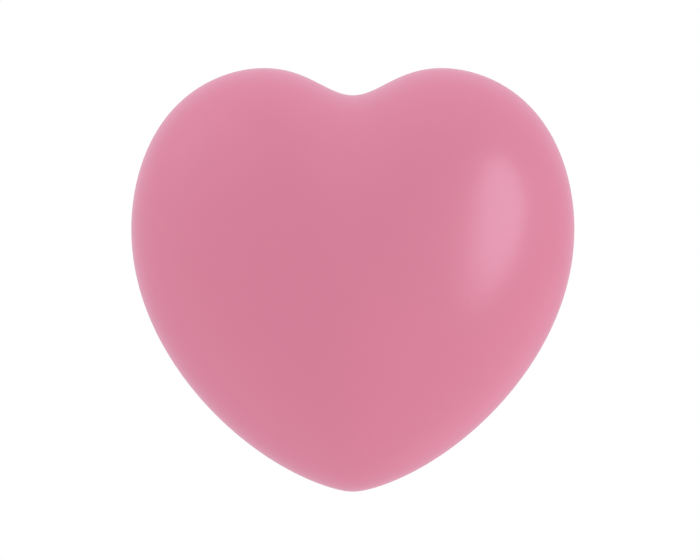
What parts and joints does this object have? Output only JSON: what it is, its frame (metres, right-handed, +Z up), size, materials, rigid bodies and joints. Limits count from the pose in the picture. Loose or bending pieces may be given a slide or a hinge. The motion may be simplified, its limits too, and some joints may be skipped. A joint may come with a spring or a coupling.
{
  "type": "heart push lantern",
  "caption": "Puffed heart lantern for a wall: a satin diffuser that is pressed to switch battery-run lamps, on a flat-backed housing with a battery door.",
  "frame": {"origin": "centre of the keyhole's round entry on the flat back face", "axes": "+Y into the wall, square to the back face; +Z up, from the heart's tip to its notch; +X right, seen from the front"},
  "size_m": [0.14, 0.072, 0.1339],
  "materials": {
    "shell_pink": "satin, slightly translucent",
    "housing_pink": "satin",
    "steel": "zinc plated",
    "rubber": "matte",
    "foam": "soft foam",
    "nickel": "nickel plated",
    "board_green": "solder mask",
    "lamp_clear": "clear epoxy",
    "chip_black": "moulded",
    "reflector_white": "gloss",
    "plunger_white": "gloss",
    "cell_wrap": "printed sleeve",
    "wire_black": "insulated",
    "wire_red": "insulated"
  },
  "bodies": {
    "housing": {"rear_housing": "housing_pink", "board_screws": "steel", "reflector_screws": "steel", "rubber_feet": "rubber", "minus_terminal": "nickel", "plus_terminal": "nickel", "bridge_left": "nickel", "bridge_right": "nickel", "contact_springs": "nickel", "main_board": "board_green", "lamps": "lamp_clear", "timer_chip": "chip_black", "resistors": "chip_black", "capacitor": "nickel", "reflector": "reflector_white", "switch_body": "chip_black", "cell_1": "cell_wrap", "cell_2": "cell_wrap", "cell_3": "cell_wrap", "minus_wire": "wire_black", "plus_wire": "wire_red", "return_spring_upper_left": "steel", "return_spring_upper_right": "steel", "return_spring_lower_left": "steel", "return_spring_lower_right": "steel"},
    "heart": {"front_shell": "shell_pink", "retaining_screws": "steel", "retaining_washers": "steel"},
    "plunger": {"switch_plunger": "plunger_white"},
    "door": {"battery_door": "housing_pink", "door_pad": "foam"}
  },
  "joints": [
    {"name": "heart_press", "type": "slide", "parent": "housing", "child": "heart", "axis": [0, 1, 0], "range_m": [0, 0.002], "stiffness_N_per_m": 1200, "springref_m": -0.002, "deforming": ["return_spring_upper_left", "return_spring_upper_right", "return_spring_lower_left", "return_spring_lower_right"]},
    {"name": "plunger_press", "type": "slide", "parent": "housing", "child": "plunger", "axis": [0, 1, 0], "range_m": [0, 0.002]},
    {"name": "door_hinge", "type": "hinge", "parent": "housing", "child": "door", "pos_m": [0, -0.0018, -0.0115], "axis": [1, 0, 0], "range_deg": [0, 90]}
  ],
  "couplings": [
    {"joint": "plunger_press", "follows": "heart_press", "ratio": 1}
  ]
}
